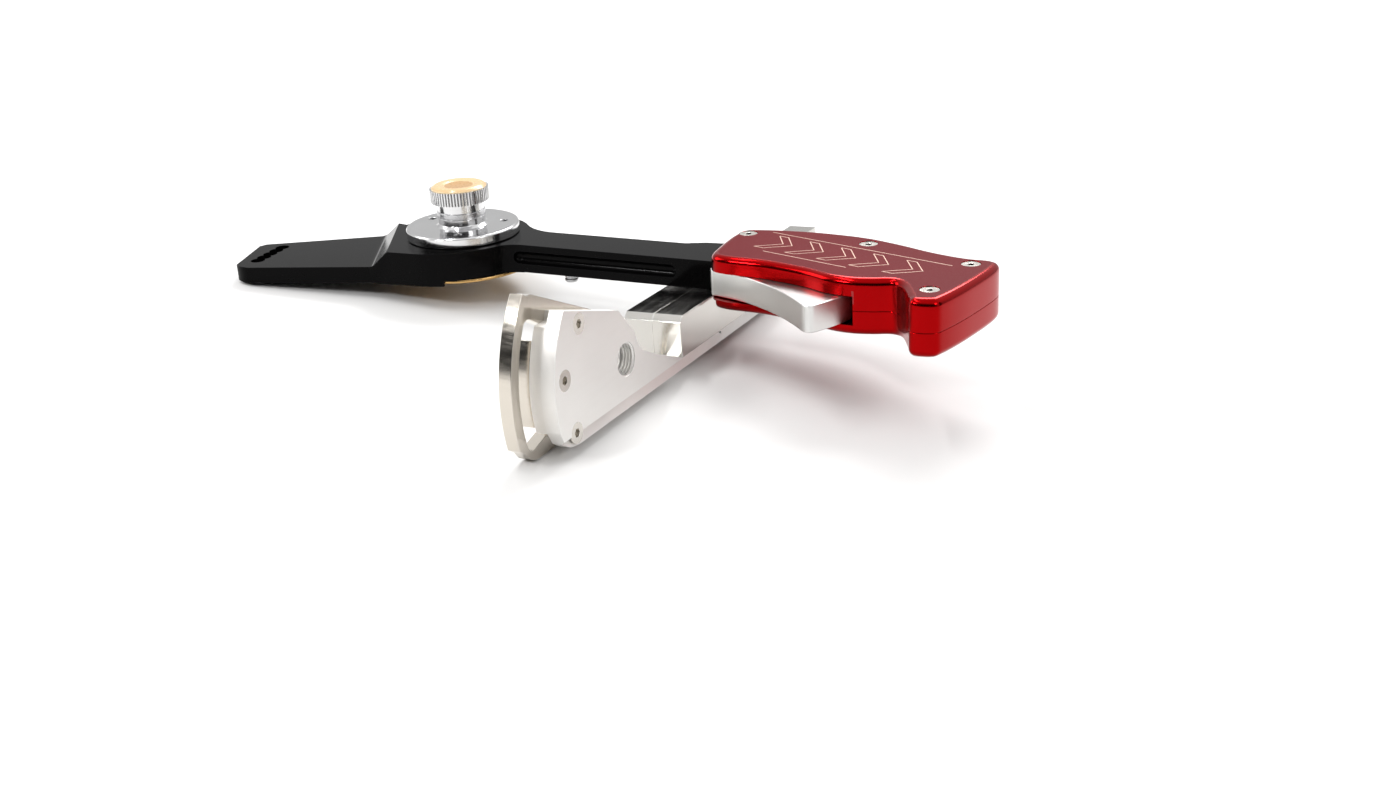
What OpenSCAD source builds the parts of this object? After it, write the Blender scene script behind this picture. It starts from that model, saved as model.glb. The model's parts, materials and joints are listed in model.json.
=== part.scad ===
// Gear shift lever with a trigger grip, lying on its loose gate bracket.
// The lever's own frame has its origin on the pivot axis at the flange top,
// x towards the grip. The bracket's own frame has its origin on the bore axis
// at the front face, x out of that face, y along the rails, z up the plates.

/* [Placement] */
// Shift of the whole part that centres its box on X = 0, mm
place_x = -79.52; // [-120:0.01:0]
// Shift of the whole part that centres its box on Y = 0, mm
place_y = 27.84; // [0:0.01:80]
// Height of the lever's flange top above the ground, mm
lever_lift = 31.57; // [25:0.05:45]
// Tilt of the lever, resting on its left tip and on the rails, deg
lever_tilt = 6; // [0:0.1:15]
// Bracket bore position along X from the pivot axis, mm
bracket_x = 135.5; // [110:0.1:160]
// Bracket bore position along Y from the pivot axis, mm
bracket_y = -92.6; // [-120:0.1:-60]
// Height of the bracket bore above the ground, mm
bracket_z = 24.43; // [15:0.05:40]
// Turn of the bracket about the vertical, deg
bracket_yaw = 1.4; // [-10:0.1:10]
// Backward lean of the bracket plates, deg
bracket_lean = 7.6; // [0:0.1:15]
// Fall of the rails towards their far end, deg
bracket_fall = 0.9; // [0:0.1:3]

/* [Lever arm] */
// Height of the arm and hub top below the flange top, mm
arm_top = 5; // [3:0.1:8]
// Depth of the arm's underside below the flange top, mm
arm_bottom = 18.3; // [15:0.1:22]
// Depth of the hub's underside below the flange top, mm
hub_bottom = 18.5; // [18:0.1:26]
// Depth of the shift plate's underside and of the skirt round the washer, mm
skirt_bottom = 20.8; // [19:0.1:26]
// Radius of the hub, mm
hub_r = 31.5; // [25:0.5:40]
// Depth of the shift plate's top below the flange top, mm
plate_top = 13; // [10:0.1:18]
// Depth of the shift plate's thin end underside, mm
plate_end_bottom = 20.6; // [18:0.1:24]
// Radius of the four overlapping holes in the shift plate, mm
adjust_hole_r = 3.4; // [2:0.1:5]
// Spacing of the four overlapping holes, mm
adjust_pitch = 5.4; // [4:0.1:8]
// Depth of the round-bottomed side channels in the arm, mm
channel_depth = 2.6; // [1:0.1:3]
// Radius of the cutter that made the side channels, mm
channel_r = 3.1; // [2:0.1:5]
// Distance from the pivot axis to the gate pin, mm
pin_x = 57.7; // [50:0.5:75]

/* [Pivot] */
// Radius of the pivot flange, mm
flange_r = 27; // [20:0.5:35]
// Radius of the pivot neck, mm
neck_r = 11.2; // [8:0.1:16]
// Height of the pivot neck, mm
neck_h = 11.6; // [6:0.1:20]
// Radius of the spindle in the hub, mm
spindle_r = 8; // [5:0.1:12]
// Running clearance on turning parts, mm
running_gap = 0.05; // [0.02:0.01:0.1]
// Radius of the hub bushing, mm
bushing_r = 10.5; // [9:0.1:14]
// Radius of the through bore in the spindle, mm
spindle_bore_r = 4; // [2:0.1:6]
// Radius of the bronze thrust washer, mm
washer_r = 32.5; // [14:0.5:36]
// Thickness of the bronze thrust washer, mm
washer_t = 1.5; // [1:0.1:6]
// Radius of the knurled knob, mm
knob_r = 14; // [10:0.1:20]
// Height of the knurled knob, mm
knob_h = 6.4; // [4:0.1:12]
// Count of grooves round the knob
knob_grooves = 60; // [12:1:60]

/* [Grip] */
// Height of the grip's flat top above the flange top, mm
grip_top = 2.3; // [0:0.1:5]
// Depth of the seam between the grip halves, mm
grip_seam = 11.5; // [8:0.1:15]
// Depth of the grip's underside, mm
grip_bottom = 22.2; // [20:0.1:28]
// Size of the edge break round the grip, mm
grip_break = 1.8; // [0.5:0.1:4]
// Radius of the grip screw heads, mm
grip_head_r = 4.1; // [3:0.1:6]
// Radius of the grip screw shanks, mm
grip_shank_r = 2; // [1.5:0.1:3]

/* [Trigger] */
// Depth of the trigger's top below the flange top, mm
trigger_top = 5.6; // [4:0.1:8]
// Height of the trigger, mm
trigger_h = 11.8; // [8:0.1:14]
// Pull of the trigger, deg
trigger_pull = 10; // [5:0.5:12]
// Radius of the trigger hinge pin, mm
trigger_pin_r = 2; // [1:0.1:3]

/* [Gate bracket] */
// Thickness of the front plate, mm
front_t = 6; // [4:0.1:10]
// Thickness of the spacer plate, mm
spacer_t = 5.5; // [3:0.1:10]
// Thickness of the gate plate, mm
gate_t = 5.5; // [3:0.1:10]
// Radius of the front plate's arc about the bore, mm
front_r = 55; // [45:0.5:65]
// Radius of the gate plate's rim about the bore, mm
gate_r = 67; // [60:0.5:75]
// Radius of the gate slot's centre line, mm
slot_r = 58; // [50:0.5:68]
// Width of the gate slot, mm
slot_w = 7.2; // [6.8:0.1:9]
// Radius of the stepped pivot bore at the front face, mm
bore_r = 7.2; // [5:0.1:10]
// Radius of the running bore inside the bushing, mm
inner_bore_r = 5.5; // [4:0.1:7]
// Radius of the plate screw heads, mm
plate_head_r = 4.3; // [3:0.1:6]
// Bottom of the plates below the bore axis, mm
plates_bottom = 20.4; // [15:0.1:25]

/* [Rails] */
// Near end of the rails from the bore axis, mm
rail_start = 44.2; // [35:0.1:60]
// Far end of the rails from the bore axis, mm
rail_end = 196; // [120:1:220]
// Far end of the shorter rear rail from the bore axis, mm
rear_rail_end = 180; // [120:1:220]
// Top of the rails above the bore axis, mm
rail_top = 4; // [0:0.1:10]
// Bottom of the rails below the bore axis, mm
rail_bottom = 14.1; // [10:0.1:20]
// Distance of the front rail's face in front of the plates, mm
rail_front = 2.2; // [0:0.1:4]
// Distance of the joint between the rails behind the front face, mm
rail_joint = 11.5; // [8:0.1:14]
// Distance of the rear rail's back behind the front face, mm
rail_back = 25; // [20:0.5:32]
// Radius of the foot bolt holes, mm
foot_hole_r = 3.3; // [2:0.1:5]
// Spacing of the foot bolt holes along the rails, mm
foot_pitch = 44; // [30:1:70]

/* [Hidden] */
$fn = 96;
e = 0.02;
cut = 60;
channel_z = -11.3;
channel_start = 36.4;
channel_end = 114.4;
plate_turn = 27.9;
tang_top = 7;
tang_bottom = 16;
pin_r = 3.25;
pin_tip = 24;
pin_head = 13;
guide_r = 5;
rod_r = 2;
rod_z = -12;
nut_t = 3;
nut_r = 13;
spindle_end = hub_bottom + washer_t + nut_t;
stem_r = 5;
stem_l = 9;
cap_r = 13.2;
cap_h = 1.5;
inlay_r = 7;
seat_gap = 0.1;
front_back = front_t;
spacer_back = front_t + spacer_t;
gate_back = spacer_back + gate_t;
gate_bottom = 23.2;
plate_screws_at = [[142.2, 42], [171, 47.6], [200.3, 44.8]];
rail_screw_y = [62, 108, 152];
rail_break = 2.6;
flange_screw_angles = [170, 296, 30];
foot_start = 112;
foot_end = 178;
foot_bottom = 17.9;
foot_mid = (foot_start + foot_end) / 2;
trigger_pivot = [147, -15];
grip_screw_at = [[143.8, 12.4], [201.1, 10.8], [251.2, -5.4], [244.8, -42]];
tang_dowels_at = [[176, 4], [216, -9]];

// ---- frames ----

module in_place() {
    translate([place_x, place_y, 0]) children();
}

module lever_frame() {
    in_place()
        translate([0, 0, lever_lift])
            rotate([0, -lever_tilt, 0])
                children();
}

module bracket_frame() {
    in_place()
        translate([bracket_x, bracket_y, bracket_z])
            rotate([0, 0, -bracket_yaw])
                rotate([-bracket_fall, 0, 0])
                    rotate([0, -bracket_lean, 0])
                        children();
}

// ---- curve helpers ----

// Point between b and c on a smooth closed curve through a, b, c, d.
function between(a, b, c, d, t) =
    0.5 * (2 * b + (c - a) * t + (2 * a - 5 * b + 4 * c - d) * t * t
        + (3 * b - a - 3 * c + d) * t * t * t);

// Closed smooth curve through the given corners, with a few points each.
function smooth_loop(p, n) =
    let (m = len(p))
    [for (i = [0:m - 1], k = [0:n - 1])
        between(p[(i + m - 1) % m], p[i], p[(i + 1) % m], p[(i + 2) % m], k / n)];

// The same loop moved inwards by d, for loops drawn anticlockwise.
function inset_loop(p, d) =
    let (m = len(p))
    [for (i = [0:m - 1])
        let (t = p[(i + 1) % m] - p[(i + m - 1) % m])
        p[i] + d * [-t[1], t[0]] / norm(t)];

// Points on an arc about the origin.
function arc_points(r, a0, a1, n) =
    [for (i = [0:n]) r * [cos(a0 + (a1 - a0) * i / n), sin(a0 + (a1 - a0) * i / n)]];

module slab(bottom, top) {
    translate([0, 0, bottom])
        linear_extrude(height = top - bottom)
            children();
}

module along_x(x0, x1) {
    translate([x0, 0, 0])
        rotate([90, 0, 90])
            linear_extrude(height = x1 - x0)
                children();
}

module ring(r_out, r_in, bottom, top) {
    slab(bottom, top)
        difference() {
            circle(r = r_out);
            circle(r = r_in);
        }
}

// Countersunk socket screw, head top at z = 0, pointing down.
module countersunk(head_r, shank_r, length) {
    difference() {
        union() {
            rotate_extrude()
                polygon([[0, 0], [head_r, 0], [head_r, -0.7],
                    [shank_r, -0.7 - (head_r - shank_r)], [shank_r, -length], [0, -length]]);
        }
        translate([0, 0, -2.2])
            cylinder(r = shank_r * 0.75, h = 3, $fn = 6);
    }
}

module countersunk_seat(head_r, shank_r, length) {
    rotate_extrude()
        polygon([[0, e], [head_r, e], [head_r, -0.7],
            [shank_r, -0.7 - (head_r - shank_r)], [shank_r, -length], [0, -length]]);
    translate([0, 0, 0])
        cylinder(r = head_r, h = 4);
}

// ---- lever arm ----

// The round hub, fuller at its near left, blended into both sides of the arm.
module hub_outline() {
    circle(r = hub_r);
    full_side(40);
    polygon([[-18, -36.9], [-7.3, -36.2], [-7.3, -28], [0, 0], [-10, 29.5], [-28, 20],
        [-34.5, 13], [-36.7, 5.7], [-31, -11]]);
    hub_blend(25.95, -16.9, 38.1, -9.8, 14);
    hub_blend(23.35, 21.15, 42.6, 12.6, -26);
}

// The fuller near left of the hub, out to x_end.
module full_side(x_end) {
    intersection() {
        translate([-7.3, 2.1])
            circle(r = 38.3);
        translate([-7.3, -40])
            square([x_end + 7.3, 32]);
    }
}

// Hollow corner of radius |r| between the hub at (hx, hy) and the arm's side at (ax, ay).
module hub_blend(hx, hy, ax, ay, r) {
    difference() {
        polygon([[8, 0], [hx, hy], [ax, ay - r], [ax, ay], [ax, 0]]);
        translate([ax, ay - r])
            circle(r = abs(r));
    }
}

module plate_outline() {
    polygon([[-93, -54], [-96.5, -52], [-106, -23], [-104.5, -19.5], [-53, 9.5],
        [-30, 20], [-10, 0], [-7.3, -28], [-7.3, -36.2], [-18, -36.9],
        [-30, -37.4], [-88, -54.5]]);
}

// The low strip of the shift plate behind its ramp.
module behind_ramp() {
    polygon([[-36.8, 5.8], [-34.5, 13], [-28, 20], [-28, 40], [-70, 40], [-70, 12.6]]);
}

module arm_outline() {
    polygon([[20, -18], [33, -9.8], [128, -9.8], [136.5, -9.8], [136.5, 15.5],
        [131, 17], [121, 16], [112, 12.6], [20, 12.6]]);
}

module tang_outline() {
    polygon([[135, -9.8], [135, 15], [168, 16], [190, 8], [226, -4],
        [228, -8], [228, -16], [224, -17], [200, -12.5], [170, -8]]);
}

// Where the underside of the hub is raised: the washer's seat and beyond the plate.
module raised_under() {
    polygon([[0, 0], [-31, 22], [-31, 60], [60, 60], [60, -60], [8, -60], [8, -28]]);
}

// Everything above the shift plate, seen along its edge: flat plate, ramp up to the hub.
module above_ramp() {
    polygon([[-125, cut], [-32.9, cut], [-33.2, -4], [-34.4, -5.3], [-35.2, -6.1],
        [-41, -11.6], [-42.2, -12.5], [-43.8, -plate_top], [-125, -plate_top]]);
}

// Everything under the thinner end of the shift plate.
module under_end() {
    polygon([[-125, -cut], [-83, -cut], [-83, -skirt_bottom], [-84.5, -plate_end_bottom],
        [-125, -plate_end_bottom]]);
}

// A side view laid across the shift plate.
module across_plate() {
    rotate([0, 0, plate_turn])
        translate([0, 2 * cut, 0])
            rotate([90, 0, 0])
                linear_extrude(height = 4 * cut)
                    children();
}

module adjust_slot() {
    for (i = [0:4])
        translate([-90.7 - 0.6 * i, -43.3 + adjust_pitch * i, 0])
            circle(r = adjust_hole_r);
}

// Round-bottomed channel down each side of the arm, with rounded ends.
module side_channel() {
    r = channel_r;
    for (y = [-9.8 + channel_depth - r, 12.6 - channel_depth + r])
        translate([0, y, channel_z])
            rotate([0, 90, 0])
                rotate_extrude($fn = 48)
                    polygon([[0, channel_start - r], [0.5 * r, channel_start - 0.866 * r],
                        [0.866 * r, channel_start - 0.5 * r], [r, channel_start],
                        [r, channel_end], [0.866 * r, channel_end + 0.5 * r],
                        [0.5 * r, channel_end + 0.866 * r], [0, channel_end + r]]);
}

module lever_arm() {
    color([0.05, 0.05, 0.055])
        lever_frame()
            difference() {
                union() {
                    difference() {
                        slab(-skirt_bottom, -arm_top) {
                            hub_outline();
                            plate_outline();
                            full_side(8);
                        }
                        across_plate()
                            above_ramp();
                        slab(-plate_top, cut)
                            behind_ramp();
                        across_plate()
                            under_end();
                        slab(-cut, -hub_bottom)
                            raised_under();
                        slab(-cut, -hub_bottom + 0.4)
                            circle(r = washer_r + 0.4);
                    }
                    slab(-arm_bottom, -arm_top)
                        arm_outline();
                    slab(-tang_bottom, -tang_top)
                        tang_outline();
                }
                slab(-cut, cut)
                    adjust_slot();
                slab(-cut, cut)
                    circle(r = bushing_r);
                side_channel();
                translate([pin_x, 0, -cut])
                    cylinder(r = guide_r, h = cut - 6.5);
                translate([pin_x, 0, rod_z])
                    rotate([0, 90, 0])
                        cylinder(r = rod_r + running_gap, h = 90);
                trigger_space();
                for (p = grip_screw_at)
                    translate([p[0], p[1], -tang_bottom - 1])
                        cylinder(r = grip_shank_r, h = 12);
                for (p = tang_dowels_at)
                    translate([p[0], p[1], -tang_bottom - 1])
                        cylinder(r = 2, h = 12);
            }
}

module hub_bushing() {
    color([0.72, 0.52, 0.28])
        lever_frame()
            ring(bushing_r, spindle_r + running_gap, -hub_bottom, -arm_top - seat_gap);
}

module thrust_washer() {
    color([0.76, 0.56, 0.3])
        lever_frame()
            ring(washer_r, spindle_r + 0.3, -hub_bottom - washer_t, -hub_bottom);
}

module pin_guide() {
    color([0.62, 0.62, 0.64])
        lever_frame()
            translate([pin_x, 0, 0])
                difference() {
                    ring(guide_r, pin_r + running_gap, -arm_bottom, -7.6);
                    translate([0, 0, rod_z])
                        rotate([0, 90, 0])
                            cylinder(r = rod_r + running_gap, h = 10);
                }
}

// ---- grip ----

grip_corners = [[140, -20.2], [147.4, -24.6], [166, -26], [186, -31], [199, -36.6], [209.6, -38.2],
    [218.5, -36.8], [226.5, -34.6], [232, -38.5], [238.2, -50], [241.5, -55.6], [250, -54.6],
    [253.6, -48.5], [258.6, -29], [262.4, -4.6], [258.6, 2.2], [247, 3.2], [232, 7.6], [214, 15.4],
    [196, 21.2], [172, 23.4], [151.4, 21.8], [139.6, 17.8], [137.4, 8], [138, -8]];
grip_curve = smooth_loop(grip_corners, 4);

module grip_prism(bottom, top) {
    slab(bottom, top)
        polygon(grip_curve);
}

module trigger_space() {
    slab(-trigger_top - trigger_h - 0.4, -trigger_top + 0.4)
        polygon([[132, -62], [132, -13], [138.6, -9.9], [138.6, 4.4], [152.6, 4.4],
            [152.6, -6.5], [158, -7.5], [180, -9.5], [211, -12.5], [211, -62]]);
}

module grip_holes() {
    for (p = tang_dowels_at)
        translate([p[0], p[1], -19])
            cylinder(r = 2, h = 14);
    translate([trigger_pivot[0], trigger_pivot[1], -21])
        cylinder(r = trigger_pin_r, h = 19);
    slab(-tang_bottom, -tang_top)
        tang_outline();
    slab(-arm_bottom, -arm_top)
        arm_outline();
    trigger_space();
}

module grip_upper() {
    color([0.62, 0.03, 0.04])
        lever_frame()
            difference() {
                union() {
                    grip_prism(-grip_seam, grip_top - grip_break);
                    slab(grip_top - grip_break, grip_top - grip_break / 3)
                        polygon(inset_loop(grip_curve, grip_break / 3));
                    slab(grip_top - grip_break / 3, grip_top)
                        polygon(inset_loop(grip_curve, grip_break));
                }
                grip_holes();
                for (p = grip_screw_at)
                    translate([p[0], p[1], grip_top - 0.3])
                        countersunk_seat(grip_head_r, grip_shank_r, 20);
            }
}

module grip_lower() {
    color([0.58, 0.03, 0.04])
        lever_frame()
            difference() {
                union() {
                    grip_prism(-grip_bottom + grip_break, -grip_seam);
                    slab(-grip_bottom + grip_break / 3, -grip_bottom + grip_break)
                        polygon(inset_loop(grip_curve, grip_break / 3));
                    slab(-grip_bottom, -grip_bottom + grip_break / 3)
                        polygon(inset_loop(grip_curve, grip_break));
                }
                grip_holes();
                translate([120, -cut, -30])
                    cube([22.4, 2 * cut, 30 - arm_bottom + e]);
                for (p = grip_screw_at)
                    translate([p[0], p[1], -18.5])
                        cylinder(r = grip_shank_r, h = 8);
            }
}

module grip_screws() {
    color([0.7, 0.7, 0.72])
        lever_frame()
            for (p = grip_screw_at)
                translate([p[0], p[1], grip_top - 0.3])
                    countersunk(grip_head_r, grip_shank_r, 19.5);
}

module tang_dowels() {
    color([0.55, 0.55, 0.57])
        lever_frame()
            for (p = tang_dowels_at)
                translate([p[0], p[1], -18.5])
                    cylinder(r = 2, h = 13);
}

module trigger_pin() {
    color([0.55, 0.55, 0.57])
        lever_frame()
            translate([trigger_pivot[0], trigger_pivot[1], -20.5])
                cylinder(r = trigger_pin_r, h = 18);
}

// ---- pivot and knob ----

module pivot_spindle() {
    color([0.78, 0.78, 0.8])
        lever_frame()
            difference() {
                union() {
                    rotate_extrude()
                        polygon([[0, -spindle_end], [spindle_r, -spindle_end], [spindle_r, -arm_top],
                            [flange_r - 0.5, -arm_top], [flange_r, -arm_top + 0.5], [flange_r, -0.6],
                            [flange_r - 0.6, 0], [neck_r + 1.4, 0], [neck_r, 1.2], [neck_r, neck_h],
                            [0, neck_h]]);
                }
                translate([0, 0, -spindle_end - 1])
                    cylinder(r = spindle_bore_r, h = spindle_end + 1 + 1.5);
                translate([0, 0, 1.5])
                    cylinder(r = stem_r + running_gap, h = neck_h);
                ring(neck_r + 1, neck_r - 1, 4.2, 7.2);
                for (a = flange_screw_angles)
                    rotate([0, 0, a])
                        translate([19.8, 0, -3])
                            cylinder(r = 1.9, h = 5);
            }
}

module flange_screws() {
    color([0.5, 0.5, 0.52])
        lever_frame()
            for (a = flange_screw_angles)
                rotate([0, 0, a])
                    translate([19.8, 0, -3])
                        difference() {
                            cylinder(r = 1.9, h = 2.5);
                            translate([0, 0, 1.2])
                                cylinder(r = 1, h = 3, $fn = 6);
                        }
}

module spindle_nut() {
    color([0.6, 0.6, 0.62])
        lever_frame()
            slab(-spindle_end, -hub_bottom - washer_t - seat_gap)
                difference() {
                    circle(r = nut_r, $fn = 6);
                    circle(r = spindle_r);
                }
}

module neck_ring() {
    color([0.3, 0.3, 0.32])
        lever_frame()
            ring(neck_r + 0.3, neck_r - 1, 4.2, 7.2);
}

module knob() {
    color([0.72, 0.72, 0.74])
        lever_frame()
            difference() {
                union() {
                    ring(knob_r, 0.01, neck_h + seat_gap, neck_h + knob_h);
                    slab(neck_h - stem_l, neck_h + 1)
                        circle(r = stem_r);
                }
                for (i = [0:knob_grooves - 1])
                    rotate([0, 0, i * 360 / knob_grooves])
                        translate([knob_r + 0.15, 0, neck_h])
                            cylinder(r = 0.5, h = knob_h + 1, $fn = 6);
            }
}

module knob_cap() {
    color([0.86, 0.8, 0.66])
        lever_frame()
            translate([0, 0, neck_h + knob_h])
                rotate_extrude()
                    polygon([[inlay_r, 0], [cap_r, 0], [cap_r, 0.3], [cap_r - 1.7, cap_h],
                        [inlay_r + 1.4, cap_h], [inlay_r, cap_h - 0.6]]);
}

module knob_inlay() {
    color([0.66, 0.5, 0.32])
        lever_frame()
            slab(neck_h + knob_h, neck_h + knob_h + cap_h - 0.8)
                circle(r = inlay_r);
}

// ---- trigger train ----

module trigger() {
    color([0.8, 0.8, 0.82])
        lever_frame()
            difference() {
                slab(-trigger_top - trigger_h, -trigger_top)
                    polygon([[137.8, -17.2], [139.2, -19.4], [146, -21.2], [152.8, -23.2],
                        [158, -25.2], [164, -28.3], [170, -31.8], [176, -35.8], [182, -40.6],
                        [188, -46], [193.4, -51.4], [195.4, -52.9], [197.6, -53], [199.4, -51.6],
                        [202.4, -46.4], [205.6, -39.6], [208, -33.6], [208.8, -24.6], [196, -23.4],
                        [180, -20.6], [166, -14.6], [155, -10.2], [151, -7.4], [150.4, -4],
                        [150.4, 2], [149, 3.4], [145, 3.4], [143.6, 2], [143.6, -9], [139.8, -12]]);
                translate([trigger_pivot[0], trigger_pivot[1], -cut])
                    cylinder(r = trigger_pin_r + running_gap, h = 2 * cut);
            }
}

module push_rod() {
    color([0.6, 0.6, 0.62])
        lever_frame()
            translate([pin_x + 6.5, 0, rod_z])
                rotate([0, 90, 0])
                    cylinder(r = rod_r, h = 142.9 - pin_x - 6.5);
}

module gate_pin() {
    color([0.72, 0.72, 0.72])
        lever_frame()
            translate([pin_x, 0, 0])
                rotate_extrude()
                    polygon([[0, -pin_tip], [pin_r - 0.8, -pin_tip], [pin_r, -pin_tip + 0.8],
                        [pin_r, -pin_tip + 1.6], [pin_r - 0.4, -pin_tip + 1.8],
                        [pin_r - 0.4, -pin_tip + 2.4], [pin_r, -pin_tip + 2.6],
                        [pin_r, -pin_tip + 3.4], [pin_r - 0.4, -pin_tip + 3.6],
                        [pin_r - 0.4, -pin_tip + 4.2], [pin_r, -pin_tip + 4.4],
                        [pin_r, -pin_head], [0, -pin_head]]);
}

module pin_spring() {
    color([0.6, 0.6, 0.62])
        lever_frame()
            for (i = [0:2])
                translate([pin_x, 0, -pin_head + 0.5 + 2.1 * i])
                    rotate_extrude()
                        translate([2.4, 0])
                            circle(r = 0.45, $fn = 16);
}

// ---- gate bracket ----

module plate_slab(x_back, x_front) {
    along_x(-x_back, -x_front)
        children();
}

module front_outline() {
    difference() {
        polygon(concat(arc_points(front_r, 142, 193, 40),
            [[-51.2, -17], [-47, -19.7], [-42, -plates_bottom], [rail_end, -plates_bottom],
            [rail_end, -rail_bottom], [rail_start, -rail_bottom], [24, -5.6], [13, 0],
            [10.6, 4], [8.6, 9], [-2.8, 21.5]]));
    }
}

module spacer_outline() {
    polygon(concat([[-38, 31.8], [-39.6, 28]], arc_points(front_r - 0.6, 149, 193.5, 36),
        [[-45.6, -12.6], [-44.6, -17.6], [-38, -19.6], [36, -19.6], [30, -9], [20, -5],
        [9.6, 2], [7.8, 8.6], [-3.2, 20.6]]));
}

module gate_outline() {
    polygon(concat([[-24, 30.4], [-46.6, 40.6], [-49.4, 40.8]], arc_points(gate_r, 141, 193.5, 44),
        [[-61.4, -18], [-58.6, -21.4], [-55, -gate_bottom + 0.2], [-52, -gate_bottom],
        [-34, -gate_bottom + 0.4], [-24, -20],
        [30, -19.4], [24, -7], [9, 4], [7.6, 8.4], [-3.4, 21.2]]));
}

module gate_slot() {
    polygon(concat(arc_points(slot_r + slot_w / 2, 151, 195, 30),
        arc_points(slot_r - slot_w / 2, 195, 151, 30)));
    for (a = [151, 195]) {
        rotate([0, 0, a])
            translate([slot_r, 0])
                circle(r = slot_w / 2);
        rotate([0, 0, a])
            translate([slot_r - 12, -slot_w / 2])
                square([12, slot_w]);
        rotate([0, 0, a])
            translate([slot_r - 12, 0])
                circle(r = slot_w / 2);
    }
}

module in_yz(x0, x1) {
    translate([x0, 0, 0])
        rotate([90, 0, 90])
            linear_extrude(height = x1 - x0)
                children();
}

module plate_screw_at(p) {
    rotate([p[0], 0, 0])
        translate([0, p[1], 0])
            children();
}

module front_plate() {
    color([0.8, 0.8, 0.82])
        bracket_frame()
            difference() {
                plate_slab(front_back, 0)
                    front_outline();
                rotate([0, 90, 0])
                    cylinder(r = bore_r, h = cut, center = true);
                translate([0, -60, -plates_bottom])
                    rotate([0, -29, 0])
                        translate([0, 0, -6])
                            cube([8, rail_end + 70, 10]);
                for (p = plate_screws_at)
                    plate_screw_at(p)
                        rotate([0, 90, 0])
                            countersunk_seat(plate_head_r, 2.5, 16);
                for (y = [foot_mid - 56, foot_mid])
                    translate([-front_t / 2, y, -cut])
                        cylinder(r = 1.6, h = cut - rail_bottom + e);
            }
}

module spacer_plate() {
    color([0.74, 0.74, 0.75])
        bracket_frame()
            difference() {
                plate_slab(spacer_back, front_back)
                    spacer_outline();
                rotate([0, 90, 0])
                    cylinder(r = 8.2, h = cut, center = true);
                for (p = plate_screws_at)
                    plate_screw_at(p)
                        rotate([0, 90, 0])
                            cylinder(r = 2.5, h = cut, center = true);
            }
}

module gate_plate() {
    color([0.78, 0.74, 0.66])
        bracket_frame()
            difference() {
                plate_slab(gate_back, spacer_back)
                    difference() {
                        gate_outline();
                        gate_slot();
                    }
                rotate([0, 90, 0])
                    cylinder(r = 8.2, h = cut, center = true);
                for (p = plate_screws_at)
                    plate_screw_at(p)
                        rotate([0, 90, 0])
                            cylinder(r = 2.5, h = cut, center = true);
            }
}

module bore_bushing() {
    color([0.7, 0.7, 0.72])
        bracket_frame()
            translate([-gate_back, 0, 0])
                rotate([0, 90, 0])
                    ring(8.2, inner_bore_r, 0, gate_t + spacer_t);
}

module plate_screws() {
    color([0.68, 0.66, 0.62])
        bracket_frame()
            for (p = plate_screws_at)
                plate_screw_at(p)
                    rotate([0, 90, 0])
                        countersunk(plate_head_r, 2.5, gate_back - 1);
}

module rail_box(x_back, x_front, y_end) {
    translate([x_back, rail_start, -rail_bottom])
        rotate([90, 0, 90])
            linear_extrude(height = x_front - x_back)
                difference() {
                    square([y_end - rail_start, rail_top + rail_bottom]);
                    translate([0, rail_top + rail_bottom])
                        rotate([0, 0, 45])
                            square(rail_break * sqrt(2), center = true);
                }
}

module front_rail() {
    color([0.75, 0.74, 0.73])
        bracket_frame()
            difference() {
                rail_box(-rail_joint, rail_front, rail_end);
                rail_screw_holes();
            }
}

module rail_screw_holes() {
    for (y = rail_screw_y)
        translate([-rail_back - 1, y, -rail_bottom / 2])
            rotate([0, 90, 0])
                cylinder(r = 2, h = rail_back - 1);
    for (y = rail_screw_y)
        translate([-rail_back - 1, y, -rail_bottom / 2])
            rotate([0, 90, 0])
                cylinder(r = 3.6, h = 5);
}

module rear_rail() {
    color([0.76, 0.76, 0.77])
        bracket_frame()
            difference() {
                rail_box(-rail_back, -rail_joint, rear_rail_end);
                rail_screw_holes();
            }
}

module rail_screws() {
    color([0.55, 0.55, 0.57])
        bracket_frame()
            for (y = rail_screw_y)
                translate([-rail_back, y, -rail_bottom / 2])
                    rotate([0, 90, 0])
                        difference() {
                            union() {
                                cylinder(r = 3.6, h = 4);
                                cylinder(r = 2, h = rail_back - 2);
                            }
                            translate([0, 0, -1])
                                cylinder(r = 1.7, h = 3, $fn = 6);
                        }
}

module base_foot() {
    color([0.7, 0.7, 0.71])
        bracket_frame()
            difference() {
                translate([-rail_back, foot_start, -foot_bottom])
                    cube([rail_back - front_back, foot_end - foot_start, foot_bottom - rail_bottom]);
                for (s = [-1, 1])
                    translate([-(rail_back + front_back) / 2, foot_mid + s * foot_pitch / 2, -cut])
                        cylinder(r = foot_hole_r, h = cut - rail_bottom + 1);
            }
}

lever_arm();
hub_bushing();
thrust_washer();
pin_guide();
grip_upper();
grip_lower();
grip_screws();
tang_dowels();
trigger_pin();
pivot_spindle();
flange_screws();
spindle_nut();
neck_ring();
knob();
knob_cap();
knob_inlay();
trigger();
push_rod();
gate_pin();
pin_spring();
gate_plate();
spacer_plate();
front_plate();
bore_bushing();
plate_screws();
front_rail();
rear_rail();
rail_screws();
base_foot();
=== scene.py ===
import json
import math

import bmesh
import bpy
from mathutils import Matrix, Vector

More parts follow.
